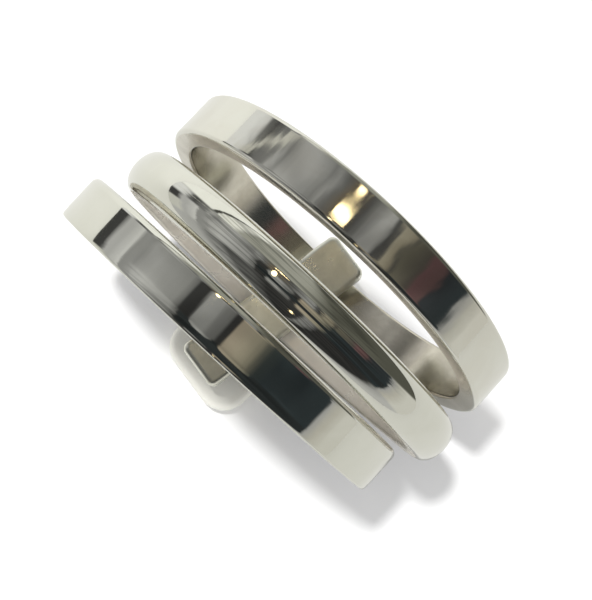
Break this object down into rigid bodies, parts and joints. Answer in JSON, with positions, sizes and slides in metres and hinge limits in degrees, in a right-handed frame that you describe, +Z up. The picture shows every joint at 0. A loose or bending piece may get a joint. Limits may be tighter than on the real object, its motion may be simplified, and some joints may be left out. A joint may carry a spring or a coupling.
{
  "type": "ring puzzle",
  "caption": "Ring puzzle: polished metal bands trapped in the slot between a straight inner bar and a rounded outer plate, fanned apart and able to turn and lean.",
  "frame": {"origin": "on the keeper plate's flat underside, below the middle of the bar", "axes": "+Z up from the plate through the bands, +X along the bar from the left flat band to the right flat band"},
  "size_m": [0.0136, 0.0219, 0.0233],
  "materials": {
    "polished_steel": "mirror polish",
    "satin_steel": "satin",
    "pale_steel": "soft polish"
  },
  "bodies": {
    "keeper": {"keeper_bar": "satin_steel", "keeper_plate": "pale_steel", "keeper_pin_left": "satin_steel", "keeper_pin_right": "satin_steel"},
    "left_band": {"flat_band_left": "polished_steel"},
    "middle_band": {"domed_band_middle": "polished_steel"},
    "right_band": {"flat_band_right": "polished_steel"}
  },
  "joints": [
    {"name": "left_lean", "type": "hinge", "parent": "keeper", "child": "left_band", "pos_m": [-0.00371, -0.00051, 0.0017], "axis": [-0.1857, 0.9826, 0], "range_deg": [-13, 2]},
    {"name": "middle_spin", "type": "hinge", "parent": "keeper", "child": "middle_band", "pos_m": [0.00025, -0.00112, 0.01249], "axis": [0.9832, 0.1787, 0.0366], "continuous": true},
    {"name": "right_lean", "type": "hinge", "parent": "keeper", "child": "right_band", "pos_m": [0.00451, -0.00042, 0.0017], "axis": [-0.1908, 0.9816, 0], "range_deg": [-4, 5]}
  ]
}
